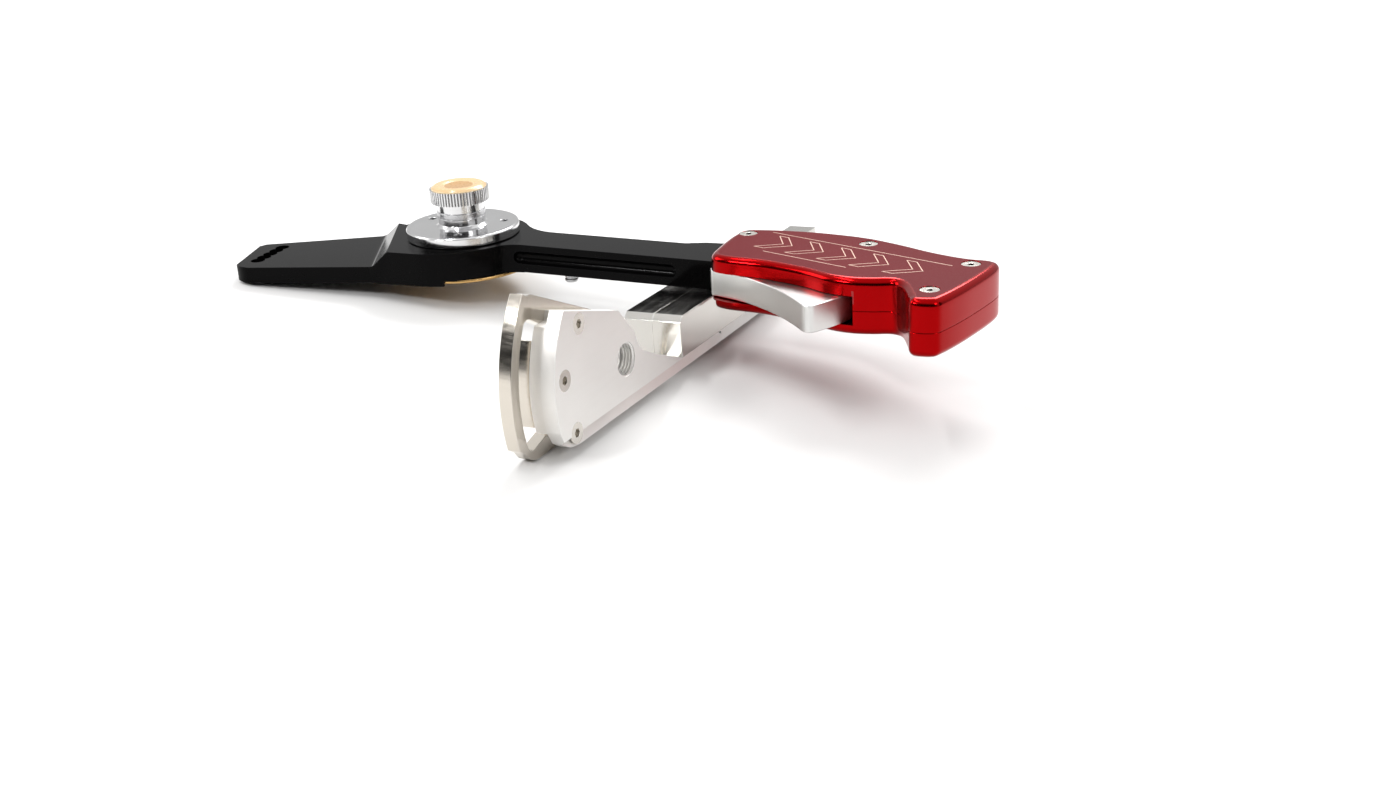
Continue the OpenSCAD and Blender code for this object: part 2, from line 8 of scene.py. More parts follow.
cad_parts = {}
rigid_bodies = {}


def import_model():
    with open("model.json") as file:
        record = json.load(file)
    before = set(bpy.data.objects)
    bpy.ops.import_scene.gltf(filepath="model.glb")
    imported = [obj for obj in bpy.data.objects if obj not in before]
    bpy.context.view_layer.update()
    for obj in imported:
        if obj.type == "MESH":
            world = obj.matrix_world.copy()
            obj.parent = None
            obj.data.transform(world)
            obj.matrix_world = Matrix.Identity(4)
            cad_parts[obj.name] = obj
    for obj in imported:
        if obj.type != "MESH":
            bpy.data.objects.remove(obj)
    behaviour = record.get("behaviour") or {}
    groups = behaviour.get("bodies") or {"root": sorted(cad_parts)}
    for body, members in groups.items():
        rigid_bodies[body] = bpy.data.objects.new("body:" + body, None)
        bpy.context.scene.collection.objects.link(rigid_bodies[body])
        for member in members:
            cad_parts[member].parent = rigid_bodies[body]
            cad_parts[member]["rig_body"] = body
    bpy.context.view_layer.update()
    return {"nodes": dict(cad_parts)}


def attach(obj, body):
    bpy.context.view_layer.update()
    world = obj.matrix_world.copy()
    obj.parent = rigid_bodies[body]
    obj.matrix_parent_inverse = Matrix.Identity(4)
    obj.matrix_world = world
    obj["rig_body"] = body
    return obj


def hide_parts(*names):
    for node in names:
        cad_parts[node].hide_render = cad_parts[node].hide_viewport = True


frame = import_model()

MM = 0.001
PLACE = Vector((-0.07952, 0.02784, 0.0))  # the pivot axis on the ground, in the row frame


def turn(degrees, axis):
    return Matrix.Rotation(math.radians(degrees), 4, axis)


# The lever's own frame has its origin on the pivot axis at the flange's top, and x towards the
# grip. The bracket's own frame has its origin on the bore's axis. Shapes in them are in mm.
LEVER = Matrix.Translation(PLACE + Vector((0, 0, 0.03157))) @ turn(-6, "Y")
BRACKET = (
    Matrix.Translation(PLACE + Vector((0.1355, -0.0926, 0.02443)))
    @ turn(-1.4, "Z")
    @ turn(-0.9, "X")
    @ turn(-7.6, "Y")
)

# ---------------------------------------------------------------- materials

MIX_A, MIX_B, MIX_RESULT = 6, 7, 2  # the colour sockets of a Mix node


def node_of(tree, kind, **values):
    """Adds a node with the given settings and returns it."""
    n = tree.nodes.new(kind)
    for k, v in values.items():
        setattr(n, k, v)
    return n


def surface(
    name,
    colour,
    rough,
    metallic=1.0,
    grain=(1, 1, 1),
    grain_scale=400.0,
    turn_to=(0, 0, 0),
    rough_spread=0.08,
    bump=0.05,
    tint=0.08,
    edge=None,
    edge_size=0.0006,
    coat=0.0,
    coat_rough=0.1,
    speck=0.0,
    ior=1.5,
):
    """A machined or coated surface.

    It has stretched grain in its roughness and bump, a broad drift of colour, an optional fine
    speckle, and optional lighter edges.
    """
    m = bpy.data.materials.new(name)
    m.use_nodes = True
    t = m.node_tree
    t.nodes.clear()
    out = node_of(t, "ShaderNodeOutputMaterial")
    p = node_of(t, "ShaderNodeBsdfPrincipled")
    t.links.new(p.outputs["BSDF"], out.inputs["Surface"])
    p.inputs["Metallic"].default_value = metallic
    p.inputs["IOR"].default_value = ior
    p.inputs["Coat Weight"].default_value = coat
    p.inputs["Coat Roughness"].default_value = coat_rough
    co = node_of(t, "ShaderNodeTexCoord")
    mp = node_of(t, "ShaderNodeMapping")
    mp.inputs["Scale"].default_value = grain
    mp.inputs["Rotation"].default_value = [math.radians(a) for a in turn_to]
    t.links.new(co.outputs["Object"], mp.inputs["Vector"])
    g = node_of(t, "ShaderNodeTexNoise")
    g.inputs["Scale"].default_value = grain_scale
    g.inputs["Detail"].default_value = 5.0
    g.inputs["Roughness"].default_value = 0.62
    t.links.new(mp.outputs["Vector"], g.inputs["Vector"])
    r = node_of(t, "ShaderNodeMapRange")
    r.inputs["From Min"].default_value = 0.3
    r.inputs["From Max"].default_value = 0.7
    r.inputs["To Min"].default_value = max(0.02, rough - rough_spread)
    r.inputs["To Max"].default_value = rough + rough_spread
    t.links.new(g.outputs["Fac"], r.inputs["Value"])
    t.links.new(r.outputs["Result"], p.inputs["Roughness"])
    # broad drift of the colour
    d = node_of(t, "ShaderNodeTexNoise")
    d.inputs["Scale"].default_value = 38.0
    d.inputs["Detail"].default_value = 3.0
    t.links.new(co.outputs["Object"], d.inputs["Vector"])
    darker = [c * (1 - tint) for c in colour]
    lighter = [min(1.0, c * (1 + tint)) for c in colour]
    mix = node_of(t, "ShaderNodeMix", data_type="RGBA")
    mix.inputs[MIX_A].default_value = (*darker, 1)
    mix.inputs[MIX_B].default_value = (*lighter, 1)
    t.links.new(d.outputs["Fac"], mix.inputs[0])
    last = mix.outputs[MIX_RESULT]
    if speck:
        s = node_of(t, "ShaderNodeTexNoise")
        s.inputs["Scale"].default_value = 2600.0
        s.inputs["Detail"].default_value = 2.0
        t.links.new(co.outputs["Object"], s.inputs["Vector"])
        sr = node_of(t, "ShaderNodeMapRange")
        sr.inputs["From Min"].default_value = 0.45
        sr.inputs["From Max"].default_value = 0.75
        sr.inputs["To Max"].default_value = speck
        t.links.new(s.outputs["Fac"], sr.inputs["Value"])
        sm = node_of(t, "ShaderNodeMix", data_type="RGBA")
        sm.inputs[MIX_B].default_value = (*[min(1.0, c * 1.8 + 0.04) for c in colour], 1)
        t.links.new(sr.outputs["Result"], sm.inputs[0])
        t.links.new(last, sm.inputs[MIX_A])
        last = sm.outputs[MIX_RESULT]
    if edge is not None:
        # where a rounded normal leaves the real one, there is an edge
        bev = node_of(t, "ShaderNodeBevel", samples=4)
        bev.inputs["Radius"].default_value = edge_size
        geo = node_of(t, "ShaderNodeNewGeometry")
        dot = node_of(t, "ShaderNodeVectorMath", operation="DOT_PRODUCT")
        t.links.new(bev.outputs["Normal"], dot.inputs[0])
        t.links.new(geo.outputs["Normal"], dot.inputs[1])
        er = node_of(t, "ShaderNodeMapRange")
        er.inputs["From Min"].default_value = 0.985
        er.inputs["From Max"].default_value = 0.88
        er.inputs["To Max"].default_value = 0.75
        t.links.new(dot.outputs["Value"], er.inputs["Value"])
        em = node_of(t, "ShaderNodeMix", data_type="RGBA")
        em.inputs[MIX_B].default_value = (*edge, 1)
        t.links.new(er.outputs["Result"], em.inputs[0])
        t.links.new(last, em.inputs[MIX_A])
        last = em.outputs[MIX_RESULT]
    t.links.new(last, p.inputs["Base Color"])
    b = node_of(t, "ShaderNodeBump")
    b.inputs["Strength"].default_value = bump
    b.inputs["Distance"].default_value = 0.0002
    t.links.new(g.outputs["Fac"], b.inputs["Height"])
    t.links.new(b.outputs["Normal"], p.inputs["Normal"])
    return m


# black anodised for the lever arm; also painted shade in the hex recesses of the grip screws
BLACK_AND_HEX_SHADE = surface(
    "black_anodised", (0.0014, 0.0013, 0.0014), 0.13, metallic=0.0, grain_scale=1500,
    rough_spread=0.03, bump=0.012, tint=0.2, edge=(0.008, 0.008, 0.009), edge_size=0.0005,
    speck=0.012, ior=1.13,
)
RED = surface(
    "red_anodised_gloss", (0.33, 0.0009, 0.0018), 0.17, metallic=1.0, grain_scale=1200,
    rough_spread=0.04, bump=0.02, tint=0.1, edge=(0.42, 0.006, 0.006), edge_size=0.0003,
    coat=0.03, coat_rough=0.08,
)
RED_TOP = surface(
    "red_anodised_matt", (0.115, 0.007, 0.01), 0.42, metallic=0.0, grain_scale=1800,
    rough_spread=0.05, bump=0.05, tint=0.1, edge=(0.26, 0.012, 0.014), speck=0.05, ior=1.12,
)
RED_INSIDE = surface(
    "red_anodised_inside", (0.34, 0.004, 0.007), 0.5, metallic=0.0, grain_scale=1500,
    bump=0.02, tint=0.1,
)
LINE = surface(
    "engraved_line", (0.55, 0.36, 0.28), 0.4, metallic=0.4, grain_scale=1500, bump=0.1,
    tint=0.12,
)
ALLOY = surface(
    "polished_alloy", (0.68, 0.68, 0.685), 0.14, grain=(1, 1, 8), grain_scale=60,
    rough_spread=0.05, bump=0.004, tint=0.04, edge=(0.93, 0.93, 0.93), edge_size=0.0003,
)
TRIGGER = surface(
    "trigger_alloy", (0.72, 0.715, 0.7), 0.32, grain_scale=1600, rough_spread=0.03, bump=0.003,
    tint=0.03,
)
MILLED = surface(
    "milled_alloy", (0.85, 0.835, 0.81), 0.48, metallic=0.85, grain=(9, 1, 9), grain_scale=70,
    turn_to=(0, 0, 1.4), rough_spread=0.07, bump=0.015, tint=0.04, edge=(0.93, 0.93, 0.93),
    edge_size=0.0004,
)
RAIL = surface(
    "rail_alloy", (0.57, 0.555, 0.525), 0.16, grain=(12, 1, 12), grain_scale=60,
    turn_to=(0, 0, 1.4), rough_spread=0.06, bump=0.015, tint=0.06, edge=(0.9, 0.89, 0.87),
    edge_size=0.0005,
)
WARM = surface(
    "warm_steel", (0.62, 0.575, 0.51), 0.17, grain=(1, 8, 8), grain_scale=80,
    rough_spread=0.06, bump=0.012, tint=0.06, edge=(0.92, 0.89, 0.84), edge_size=0.0004,
)
STEEL = surface(
    "turned_steel", (0.5, 0.5, 0.51), 0.25, grain=(1, 1, 8), grain_scale=200, bump=0.02,
    edge=(0.85, 0.85, 0.85),
)
BRIGHT = surface(
    "bright_steel", (0.66, 0.63, 0.58), 0.22, grain_scale=500, edge=(0.9, 0.88, 0.84),
    edge_size=0.0003, tint=0.1, bump=0.03,
)
THREAD = surface(
    "bright_thread", (0.86, 0.85, 0.83), 0.36, grain_scale=500, edge=(0.95, 0.95, 0.94),
    edge_size=0.0002, tint=0.03,
)
# dark steel for the dark screws; also painted shade in the grooves of the knob's knurl
DARK_STEEL_AND_GROOVE_SHADE = surface(
    "dark_steel", (0.2, 0.2, 0.205), 0.3, grain_scale=500, bump=0.03, edge=(0.5, 0.5, 0.5),
)
BRONZE = surface(
    "bronze", (0.52, 0.32, 0.12), 0.24, grain=(1, 1, 6), grain_scale=200, bump=0.02,
    edge=(0.85, 0.68, 0.42), tint=0.12,
)
CREAM = surface(
    "cream_cap", (0.62, 0.43, 0.22), 0.24, metallic=0.0, grain_scale=700, bump=0.03, tint=0.05,
    edge=(0.9, 0.78, 0.55), coat=0.25, coat_rough=0.1,
)
TAN = surface(
    "tan_inlay", (0.42, 0.24, 0.09), 0.3, metallic=0.0, grain_scale=500, bump=0.04, tint=0.1,
    edge=(0.75, 0.58, 0.35), coat=0.2,
)

# ---------------------------------------------------------------- shape helpers


def between(a, b, c, d, t):
    """The point at t between b and c on the smooth curve through a, b, c and d."""
    return [
        0.5 * (2 * b[k] + (c[k] - a[k]) * t + (2 * a[k] - 5 * b[k] + 4 * c[k] - d[k]) * t * t
               + (3 * b[k] - a[k] - 3 * c[k] + d[k]) * t ** 3)
        for k in (0, 1)
    ]


def smooth_loop(p, n):
    """The closed smooth curve through the points, with n steps between each two."""
    m = len(p)
    return [
        between(p[i - 1], p[i], p[(i + 1) % m], p[(i + 2) % m], k / n)
        for i in range(m)
        for k in range(n)
    ]


def to_segment(p, a, b):
    """The distance from p to the segment from a to b."""
    dx, dy = b[0] - a[0], b[1] - a[1]
    t = max(0.0, min(1.0, ((p[0] - a[0]) * dx + (p[1] - a[1]) * dy) / (dx * dx + dy * dy)))
    return math.hypot(p[0] - a[0] - t * dx, p[1] - a[1] - t * dy)


NO_CROSSING = 0.6  # an inset smaller than this never crosses over
NEIGHBOURS = 24  # segments looked at on each side of a point


def inset(loop, d):
    """The loop moved inwards by d.

    The points that would cross over are spread along the gap they leave.
    """
    m = len(loop)
    out = []
    for i in range(m):
        tx = loop[(i + 1) % m][0] - loop[i - 1][0]
        ty = loop[(i + 1) % m][1] - loop[i - 1][1]
        length = math.hypot(tx, ty) or 1.0
        out.append((loop[i][0] - ty / length * d, loop[i][1] + tx / length * d))
    if d < NO_CROSSING:
        return out
    good = []
    for i in range(m):
        near = min(
            to_segment(out[i], loop[(i + k) % m], loop[(i + k + 1) % m])
            for k in range(-NEIGHBOURS, NEIGHBOURS)
        )
        good.append(near > d - 0.04)
    for i in range(m):
        if good[i]:
            continue
        a, b = i, i
        while not good[a % m]:
            a -= 1
        while not good[b % m]:
            b += 1
        t = (i - a) / (b - a)
        p, q = out[a % m], out[b % m]
        out[i] = (p[0] + (q[0] - p[0]) * t, p[1] + (q[1] - p[1]) * t)
    return out


SHARP = 35  # degrees between two faces from which their edge is drawn sharp


def finish_mesh(bm, name, place, mats, body):
    """Turns a mesh in a local frame, in mm, into a piece in the row frame that rides on a body."""
    bmesh.ops.recalc_face_normals(bm, faces=bm.faces)
    me = bpy.data.meshes.new(name)
    bm.to_mesh(me)
    bm.free()
    me.transform(place @ Matrix.Scale(MM, 4))
    o = bpy.data.objects.new(name, me)
    bpy.context.scene.collection.objects.link(o)
    for m in mats:
        me.materials.append(m)
    me.shade_smooth()
    me.set_sharp_from_angle(angle=math.radians(SHARP))
    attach(o, body)
    return o


def loft(loops_z, name, place, mats, body, last_cap=0):
    """A closed solid from rings of equal count at given heights.

    last_cap is the index of the last cap's material.
    """
    bm = bmesh.new()
    rings = [[bm.verts.new((x, y, z)) for x, y in loop] for loop, z in loops_z]
    n = len(rings[0])
    for a, b in zip(rings, rings[1:]):
        for i in range(n):
            bm.faces.new((a[i], a[(i + 1) % n], b[(i + 1) % n], b[i]))
    bm.faces.new(rings[-1]).material_index = last_cap
    bm.faces.new(list(reversed(rings[0])))
    return finish_mesh(bm, name, place, mats, body)


def modifier(o, kind, **values):
    """Adds a modifier with the given settings and returns it."""
    m = o.modifiers.new(kind.lower(), kind)
    for k, v in values.items():
        setattr(m, k, v)
    return m


def apply_modifiers(o):
    """Makes the shape that the modifiers give the object's own mesh."""
    dg = bpy.context.evaluated_depsgraph_get()
    me = bpy.data.meshes.new_from_object(o.evaluated_get(dg))
    old = o.data
    o.modifiers.clear()
    o.data = me
    bpy.data.meshes.remove(old)


def cutter(shape_bm, place):
    """An object for cut_with, from a mesh in a local frame, in mm."""
    me = bpy.data.meshes.new("cut")
    bmesh.ops.recalc_face_normals(shape_bm, faces=shape_bm.faces)
    shape_bm.to_mesh(me)
    shape_bm.free()
    me.transform(place @ Matrix.Scale(MM, 4))
    o = bpy.data.objects.new("cut", me)
    bpy.context.scene.collection.objects.link(o)
    return o


def prism_bm(loop, z0, z1):
    """The loop pulled up from z0 to z1 as a closed mesh."""
    bm = bmesh.new()
    a = [bm.verts.new((x, y, z0)) for x, y in loop]
    b = [bm.verts.new((x, y, z1)) for x, y in loop]
    n = len(a)
    for i in range(n):
        bm.faces.new((a[i], a[(i + 1) % n], b[(i + 1) % n], b[i]))
    bm.faces.new(list(reversed(a)))
    bm.faces.new(b)
    return bm


def circle_loop(x, y, r, n=48):
    turns = [2 * math.pi * i / n for i in range(n)]
    return [(x + r * math.cos(a), y + r * math.sin(a)) for a in turns]


def cut_with(o, cutters):
    """Cuts the cutters out of the object and removes them."""
    for c in cutters:
        modifier(o, "BOOLEAN", operation="DIFFERENCE", object=c, solver="EXACT", use_self=True)
    bpy.context.view_layer.update()
    apply_modifiers(o)
    for c in cutters:
        me = c.data
        bpy.data.objects.remove(c)
        bpy.data.meshes.remove(me)


def flat_faces(o, angle):
    """Smooth shading that leaves the big faces flat, so only the rounded edges turn the light."""
    o.data.shade_smooth()
    o.data.set_sharp_from_angle(angle=math.radians(angle))
    modifier(o, "WEIGHTED_NORMAL", mode="FACE_AREA", weight=50, keep_sharp=True)
    bpy.context.view_layer.update()
    apply_modifiers(o)


def darken(o, material, place, inside):
    """One more material, on the faces whose centre, in mm in the given frame, is inside."""
    o.data.materials.append(material)
    back = place.inverted()
    for f in o.data.polygons:
        c = (back @ f.center) / MM
        if inside(c):
            f.material_index = len(o.data.materials) - 1


def detailed(node, material, bevel, segments=2, angle=32):
    """The CAD node's own shape, with its flat facets merged and its hard edges really rounded."""
    src = frame["nodes"][node]
    me = src.data.copy()
    me.name = node + "_mesh"
    o = bpy.data.objects.new(node + "_fine", me)
    bpy.context.scene.collection.objects.link(o)
    me.materials.clear()
    me.materials.append(material)
    bm = bmesh.new()
    bm.from_mesh(me)
    bmesh.ops.remove_doubles(bm, verts=bm.verts, dist=0.003 * MM)
    bmesh.ops.dissolve_limit(bm, angle_limit=math.radians(1.0), verts=bm.verts, edges=bm.edges)
    for f in bm.faces:
        f.material_index = 0
        f.smooth = True
    bm.to_mesh(me)
    bm.free()
    modifier(
        o, "BEVEL", width=bevel * MM, segments=segments, profile=0.6, limit_method="ANGLE",
        angle_limit=math.radians(angle), use_clamp_overlap=True, miter_outer="MITER_ARC",
        harden_normals=False,
    )
    bpy.context.view_layer.update()
    apply_modifiers(o)
    flat_faces(o, 38)
    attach(o, src["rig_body"])
    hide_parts(node)
    return o


# ---------------------------------------------------------------- grip halves

TOP, SEAM, UNDER = 2.3, -11.5, -22.2  # heights in the lever's frame
EDGE_R = 3.2
GRIP = smooth_loop(
    [(140, -20.2), (147.4, -24.6), (166, -26), (186, -31), (199, -36.6), (209.6, -38.2),
     (218.5, -36.8), (226.5, -34.6), (232, -38.5), (238.2, -50), (241.5, -55.6), (250, -54.6),
     (253.6, -48.5), (258.6, -29), (262.4, -4.6), (258.6, 2.2), (247, 3.2), (232, 7.6), (214, 15.4),
     (196, 21.2), (172, 23.4), (151.4, 21.8), (139.6, 17.8), (137.4, 8), (138, -8)], 10)
SCREWS = [(143.8, 12.4), (201.1, 10.8), (251.2, -5.4), (244.8, -42)]
SCREW_SEAT_R, HEX_R = 4.25, 2.6
# the space that the trigger swings in
SPACE_END = 211
SPACE = [(132, -62), (132, -13), (138.6, -9.9), (138.6, 4.4), (152.6, 4.4), (152.6, -6.5),
         (158, -7.5), (180, -9.5), (SPACE_END, -12.5), (SPACE_END, -62)]
SPACE_LOW, SPACE_HIGH = -17.8, -5.2


def half_rings(z_seam, z_cap, r):
    """Rings from the seam, with its fine groove, to the rounded outer edge."""
    s = 1 if z_cap > z_seam else -1
    rings = [
        (inset(GRIP, 0.22), z_seam),
        (inset(GRIP, 0.05), z_seam + s * 0.14),
        (GRIP, z_seam + s * 0.3),
        (GRIP, z_seam + s * 3),
        (GRIP, z_cap - s * (r + 2)),
        (GRIP, z_cap - s * r),
    ]
    for k in range(1, 8):
        a = math.radians(90 * k / 7)
        rings.append((inset(GRIP, r * (1 - math.cos(a))), z_cap - s * r * (1 - math.sin(a))))
    return rings


def space_wall(c):
    """Whether a point is on the walls of the trigger's space, inside the grip."""
    at_end = abs(c.x - SPACE_END) < 0.06
    along_back = c.y > -22 and 139 < c.x < SPACE_END
    return SPACE_LOW - 0.1 < c.z < SPACE_HIGH + 0.1 and (at_end or along_back)


def space_cutter():
    return cutter(prism_bm(SPACE, SPACE_LOW, SPACE_HIGH), LEVER)


upper = loft(
    half_rings(SEAM, TOP, EDGE_R), "grip_upper_shell", LEVER, [RED, RED_TOP], "lever", last_cap=1
)
seats = [cutter(prism_bm(circle_loop(x, y, SCREW_SEAT_R), -4, 6), LEVER) for x, y in SCREWS]
cut_with(upper, [space_cutter()] + seats)
flat_faces(upper, 35)
darken(upper, RED_INSIDE, LEVER, space_wall)
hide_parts("grip_upper")

lower = loft(half_rings(SEAM, UNDER, EDGE_R), "grip_lower_shell", LEVER, [RED], "lever")
REAR_STEP = [(120, -60), (142.4, -60), (142.4, 60), (120, 60)]
cut_with(lower, [space_cutter(), cutter(prism_bm(REAR_STEP, -40, -18.3), LEVER)])
flat_faces(lower, 35)
darken(lower, RED_INSIDE, LEVER, space_wall)
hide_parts("grip_lower")


LINE_WIDTH = 0.42


def ribbon(points, name, closed=False):
    """A thin filled line lying on the grip's flat top."""
    bm = bmesh.new()
    pts = list(points) + ([points[0]] if closed else [])
    for (x0, y0), (x1, y1) in zip(pts, pts[1:]):
        dx, dy = x1 - x0, y1 - y0
        length = math.hypot(dx, dy)
        ux, uy = dx / length, dy / length
        h = LINE_WIDTH / 2
        # each stroke runs on a little, so that two strokes fill their corner
        x0, y0 = x0 - ux * h * 0.6, y0 - uy * h * 0.6
        x1, y1 = x1 + ux * h * 0.6, y1 + uy * h * 0.6
        loop = [
            (x0 + uy * h, y0 - ux * h),
            (x1 + uy * h, y1 - ux * h),
            (x1 - uy * h, y1 + ux * h),
            (x0 - uy * h, y0 + ux * h),
        ]
        lo = [bm.verts.new((x, y, TOP - 0.1)) for x, y in loop]
        hi = [bm.verts.new((x, y, TOP + 0.03)) for x, y in loop]
        for i in range(4):
            bm.faces.new((lo[i], lo[(i + 1) % 4], hi[(i + 1) % 4], hi[i]))
        bm.faces.new(hi)
        bm.faces.new(list(reversed(lo)))
    finish_mesh(bm, name, LEVER, [LINE], "lever")


def along(s, t):
    """A point on the grip's flat: s along its length, t across."""
    return (150 + 0.958 * s + 0.287 * t, 8 - 0.287 * s + 0.958 * t)


# a chevron's corners, as steps along and places across
CHEVRON = [(0, 6), (9, -3), (0, -12), (5, -12), (14, -3), (5, 6)]
for k in range(5):
    start = 8 + 17 * k
    ribbon([along(start + s, t) for s, t in CHEVRON], "engraved_chevron_%d" % k, closed=True)
ribbon([along(2, 9), along(96, 9.5)], "engraved_border_back")
ribbon([along(16, -15.5), along(60, -15.5)], "engraved_border_front")

# ---------------------------------------------------------------- CAD-shaped pieces with real edges

detailed("lever_arm", BLACK_AND_HEX_SHADE, bevel=0.5, segments=3)
detailed("thrust_washer", BRONZE, bevel=0.5)
detailed("hub_bushing", BRONZE, bevel=0.1)
detailed("pin_guide", STEEL, bevel=0.1)
detailed("tang_dowels", STEEL, bevel=0.2)
detailed("trigger_pin", STEEL, bevel=0.2)
screws = detailed("grip_screws", BRIGHT, bevel=0.12)


def in_hex(c):
    """Whether a point is in the hex recess of a grip screw, below the rim of its head."""
    off_axis = min(math.hypot(c.x - x, c.y - y) for x, y in SCREWS)
    return -8 < c.z < TOP - 0.9 and off_axis < HEX_R


# painted shade: the hex recesses of the bright grip screws get the black material
darken(screws, BLACK_AND_HEX_SHADE, LEVER, in_hex)
detailed("pivot_spindle", ALLOY, bevel=0.2)
detailed("flange_screws", DARK_STEEL_AND_GROOVE_SHADE, bevel=0.1)
detailed("spindle_nut", STEEL, bevel=0.4)
detailed("neck_ring", STEEL, bevel=0.25)
knob = detailed("knob", ALLOY, bevel=0.1, segments=1)
# painted shade: the faces in the knurl's grooves, between the teeth, get the dark steel material
knob.data.materials.append(DARK_STEEL_AND_GROOVE_SHADE)
to_lever = LEVER.inverted()
for f in knob.data.polygons:
    c = to_lever @ f.center
    painted_groove_shade = 12.2 * MM < math.hypot(c.x, c.y) < 13.85 * MM and 12.1 * MM < c.z < 17.6 * MM
    if painted_groove_shade and abs((to_lever.to_3x3() @ f.normal).z) < 0.5:
        f.material_index = 1
detailed("trigger", TRIGGER, bevel=0.7, segments=3, angle=24)
detailed("push_rod", STEEL, bevel=0.3)
detailed("gate_pin", STEEL, bevel=0.08, segments=1)
detailed("gate_plate", WARM, bevel=0.35)
detailed("spacer_plate", MILLED, bevel=0.3)
detailed("front_plate", MILLED, bevel=0.45)
detailed("bore_bushing", THREAD, bevel=0.2)
detailed("plate_screws", BRIGHT, bevel=0.12)
detailed("front_rail", RAIL, bevel=0.35)
detailed("rear_rail", RAIL, bevel=0.35)
detailed("rail_screws", DARK_STEEL_AND_GROOVE_SHADE, bevel=0.2)
detailed("base_foot", MILLED, bevel=0.4)
# the spring keeps its CAD shape
spring = frame["nodes"]["pin_spring"]
spring.data.materials.clear()
spring.data.materials.append(STEEL)


def turned(profile, name, place, material, body, n=96):
    """A closed solid of revolution about the local z axis, from (radius, height) points.

    A point on the axis closes that end of the profile.
    """
    bm = bmesh.new()
    rings = []
    for r, z in profile:
        ring = circle_loop(0, 0, r, n) if r > 1e-6 else [(0, 0)]
        rings.append([bm.verts.new((x, y, z)) for x, y in ring])
    for a, b in zip(rings, rings[1:]):
        for i in range(n):
            j = (i + 1) % n
            if len(a) == 1:
                bm.faces.new((a[0], b[j], b[i]))
            elif len(b) == 1:
                bm.faces.new((a[i], a[j], b[0]))
            else:
                bm.faces.new((a[i], a[j], b[j], b[i]))
    if len(rings[0]) > 1 and len(rings[-1]) > 1:
        a, b = rings[-1], rings[0]
        for i in range(n):
            j = (i + 1) % n
            bm.faces.new((a[i], a[j], b[j], b[i]))
    return finish_mesh(bm, name, place, [material], body)


KNOB_TOP = 18.0


def on_knob(profile):
    """The profile with its heights counted from the knob's top."""
    return [(r, KNOB_TOP + z) for r, z in profile]


CAP_RIM = [(7.0, 0), (13.2, 0), (13.2, 0.25), (12.9, 0.55), (11.9, 1.25), (11.4, 1.45), (10.6, 1.5),
           (9.4, 1.5), (8.7, 1.45), (8.0, 1.2), (7.3, 0.95), (7.0, 0.85)]
DISH = [(0, 0), (7.0, 0), (7.0, 0.72), (6.2, 0.62), (4.0, 0.42), (2.0, 0.32), (0, 0.3)]
cap = turned(on_knob(CAP_RIM), "knob_cap_rim", LEVER, CREAM, "knob")
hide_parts("knob_cap")
dish = turned(on_knob(DISH), "knob_dish", LEVER, TAN, "knob")
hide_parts("knob_inlay")

# thread crests in the pivot bore, whose axis is the bracket's x
BORE = BRACKET @ turn(-90, "Y")
ROOT_R, CREST_R, PITCH = 7.4, 6.5, 1.35
for k in range(4):
    z = 0.9 + PITCH * k
    crest = turned(
        [(ROOT_R, z - 0.55), (CREST_R, z - 0.1), (CREST_R, z + 0.1), (ROOT_R, z + 0.55)],
        "bore_thread_%d" % k, BORE, THREAD, "bracket",
    )

# ---------------------------------------------------------------- stage, light, camera


def plain(name, colour, rough):
    m = bpy.data.materials.new(name)
    m.use_nodes = True
    p = m.node_tree.nodes["Principled BSDF"]
    p.inputs["Base Color"].default_value = (*colour, 1)
    p.inputs["Roughness"].default_value = rough
    return m


def card(name, centre, size, look_at, material):
    """A flat sheet of the stage that faces look_at."""
    me = bpy.data.meshes.new(name)
    x, y = size[0] / 2, size[1] / 2
    me.from_pydata([(-x, -y, 0), (x, -y, 0), (x, y, 0), (-x, y, 0)], [], [(0, 1, 2, 3)])
    me.materials.append(material)
    o = bpy.data.objects.new(name, me)
    bpy.context.scene.collection.objects.link(o)
    o.location = centre
    o.rotation_euler = (Vector(look_at) - Vector(centre)).to_track_quat("Z", "Y").to_euler()
    return o


card("floor", (0, 0, 0), (60, 60), (0, 0, 1), plain("floor_paper", (0.70, 0.695, 0.69), 0.7))


def area(name, where, size, power, size_y=None):
    """A soft light that points at the origin."""
    d = bpy.data.lights.new(name, "AREA")
    d.shape = "RECTANGLE"
    d.size = size
    d.size_y = size_y or size
    d.energy = power
    o = bpy.data.objects.new(name, d)
    bpy.context.scene.collection.objects.link(o)
    o.location = where
    o.rotation_euler = (-Vector(where)).to_track_quat("-Z", "Y").to_euler()


area("key", (-0.15, 1.05, 1.05), 0.8, 17, size_y=0.6)
area("left", (-1.4, -0.35, 0.75), 0.7, 6)
area("right", (1.2, -0.5, 0.9), 0.5, 4)
area("strip", (-0.5, -0.15, 1.25), 0.9, 5, size_y=0.05)
area("front_strip", (-0.57, -0.95, 0.75), 0.3, 6, size_y=0.07)
# dark cards that show only in the metal's reflections
BLACK_CARD = plain("card_black", (0.01, 0.01, 0.01), 0.9)
for c in (
    card("card_left", (-0.75, -0.62, 0.28), (0.16, 0.7), (-0.05, 0, 0.05), BLACK_CARD),
    card("card_right", (0.85, 0.25, 0.22), (0.2, 0.5), (0, 0, 0.04), BLACK_CARD),
):
    c.visible_camera = c.visible_shadow = c.visible_diffuse = False

world = bpy.data.worlds.new("studio")
world.use_nodes = True
bpy.context.scene.world = world
wt = world.node_tree
bg = wt.nodes["Background"]
wc = wt.nodes.new("ShaderNodeTexCoord")
ws = wt.nodes.new("ShaderNodeSeparateXYZ")
wt.links.new(wc.outputs["Generated"], ws.inputs[0])


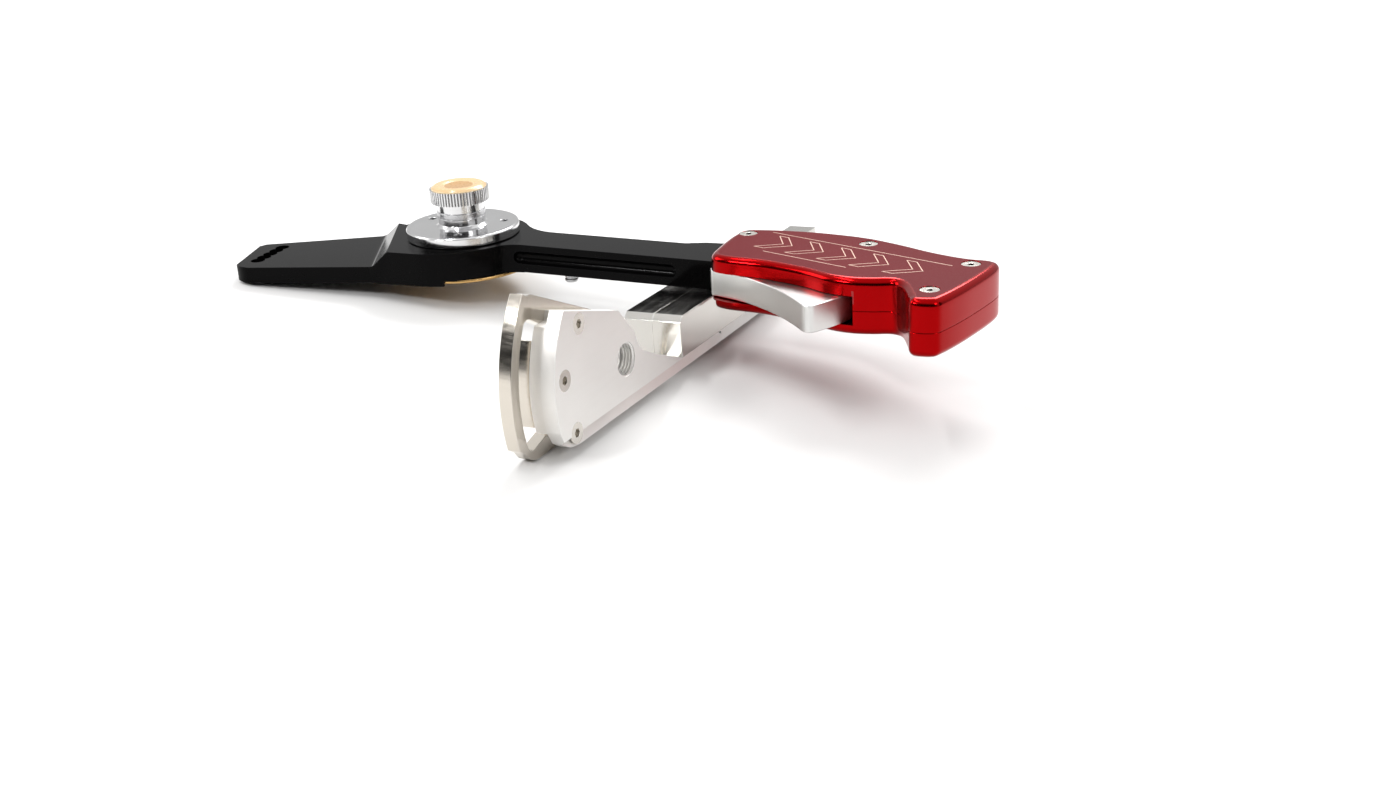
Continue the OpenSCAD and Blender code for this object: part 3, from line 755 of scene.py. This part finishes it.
def ramp(source, stops):
    """A grey that follows the source through (place, level) stops."""
    n = wt.nodes.new("ShaderNodeValToRGB")
    els = n.color_ramp.elements
    els[0].position, els[1].position = stops[0][0], stops[-1][0]
    els[0].color = (*[stops[0][1]] * 3, 1)
    els[1].color = (*[stops[-1][1]] * 3, 1)
    for where, level in stops[1:-1]:
        els.new(where).color = (level, level, level, 1)
    wt.links.new(source, n.inputs[0])
    return n.outputs["Color"]


# The sky darkens near the horizon, and more so in front, on the camera's side at rest.
behind = ramp(ws.outputs["Z"], ((0.0, 0.55), (0.3, 0.7), (0.6, 1.0), (1.0, 1.0)))
front = ramp(ws.outputs["Z"], ((0.0, 0.3), (0.1, 0.03), (0.5, 0.03), (0.62, 0.5), (0.8, 1.0)))
side = wt.nodes.new("ShaderNodeMapRange")
side.inputs["From Min"].default_value = -0.15
side.inputs["From Max"].default_value = -0.5
wt.links.new(ws.outputs["Y"], side.inputs["Value"])
wm = wt.nodes.new("ShaderNodeMix")
wm.data_type = "RGBA"
wt.links.new(side.outputs["Result"], wm.inputs[0])
wt.links.new(behind, wm.inputs[MIX_A])
wt.links.new(front, wm.inputs[MIX_B])
wt.links.new(wm.outputs[MIX_RESULT], bg.inputs["Color"])
bg.inputs["Strength"].default_value = 1.0
bpy.context.scene.view_settings.view_transform = "Standard"
bpy.context.scene.view_settings.exposure = 0.0

# The photograph is 1400 pixels wide, and its focal length is about 1600 of its pixels.
cam = bpy.data.cameras.new("camera")
cam.sensor_width = 36.0
cam.lens = cam.sensor_width * 1600 / 1400
cam.clip_start = 0.01
camera = bpy.data.objects.new("camera", cam)
bpy.context.scene.collection.objects.link(camera)
right = Vector((0.90799, 0.41670, 0.04368)).normalized()
up = Vector((-0.20832, 0.35857, 0.90996))
up = (up - right * up.dot(right)).normalized()
back = right.cross(up)
stand = Matrix.Translation(PLACE + Vector((0.3992, -0.6227, 0.27885)))
camera.matrix_world = stand @ Matrix((right, up, back)).transposed().to_4x4()
bpy.context.scene.camera = camera
